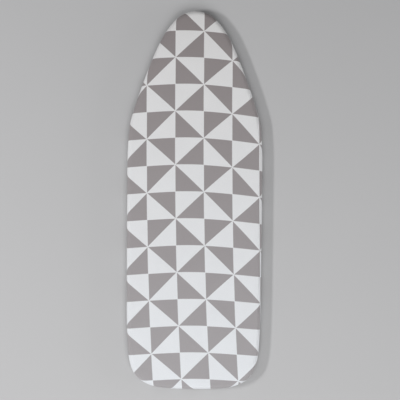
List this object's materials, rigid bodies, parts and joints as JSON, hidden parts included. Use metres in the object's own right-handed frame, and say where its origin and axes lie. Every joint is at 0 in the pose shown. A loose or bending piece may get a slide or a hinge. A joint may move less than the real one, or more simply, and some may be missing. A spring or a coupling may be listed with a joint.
{
  "type": "ironing board cover",
  "caption": "Fitted ironing board cover, rounded nose and square heel: patchwork-print cotton over foam and felt, drawcord hem with cord lock, hook-and-loop straps below.",
  "frame": {"origin": "centre of the cover's box, at the level of the hem roll's underside", "axes": "+Z out of the printed face, +Y along the cover towards its nose, +X across it to the right"},
  "size_m": [0.4388, 1.229, 0.0361],
  "materials": {
    "printed_cotton": "plain-weave cotton printed with a two-tone pinwheel patchwork",
    "foam": "open-cell foam sheet",
    "felt": "needled felt",
    "cotton_tape": "ruched cotton binding",
    "braided_cord": "round braid",
    "pale_plastic": "moulded",
    "grey_plastic": "moulded, fine grain",
    "spring_steel": "drawn wire",
    "elastic": "woven elastic webbing",
    "hook_nylon": "hook tape",
    "loop_nylon": "loop tape",
    "satin": "woven satin ribbon, blank"
  },
  "bodies": {
    "root": {"printed_cover": "printed_cotton", "foam_layer": "foam", "felt_pad": "felt", "casing_heel_right": "cotton_tape", "casing_heel_left": "cotton_tape", "casing_side_right": "cotton_tape", "casing_side_left": "cotton_tape", "casing_shoulder_right": "cotton_tape", "casing_shoulder_left": "cotton_tape", "casing_nose": "cotton_tape", "drawcord": "braided_cord", "cord_tip_right": "pale_plastic", "cord_tip_left": "pale_plastic", "front_strap_left": "elastic", "front_strap_hook_tape": "hook_nylon", "front_strap_loop_tape": "loop_nylon", "front_strap_right": "elastic", "rear_strap_left": "elastic", "rear_strap_hook_tape": "hook_nylon", "rear_strap_loop_tape": "loop_nylon", "rear_strap_right": "elastic", "sewn_label_blank": "satin"},
    "cord_lock": {"cord_lock_barrel": "grey_plastic", "cord_lock_spring": "spring_steel"},
    "lock_plunger": {"cord_lock_plunger": "grey_plastic"}
  },
  "joints": [
    {"name": "cord_lock_slide", "type": "slide", "parent": "root", "child": "cord_lock", "axis": [0, 1, 0], "range_m": [0, 0.02]},
    {"name": "plunger_press", "type": "slide", "parent": "cord_lock", "child": "lock_plunger", "axis": [-1, 0, 0], "range_m": [0, 0.0035], "stiffness_N_per_m": 800, "springref_m": -0.003, "deforming": ["cord_lock_spring"]}
  ]
}
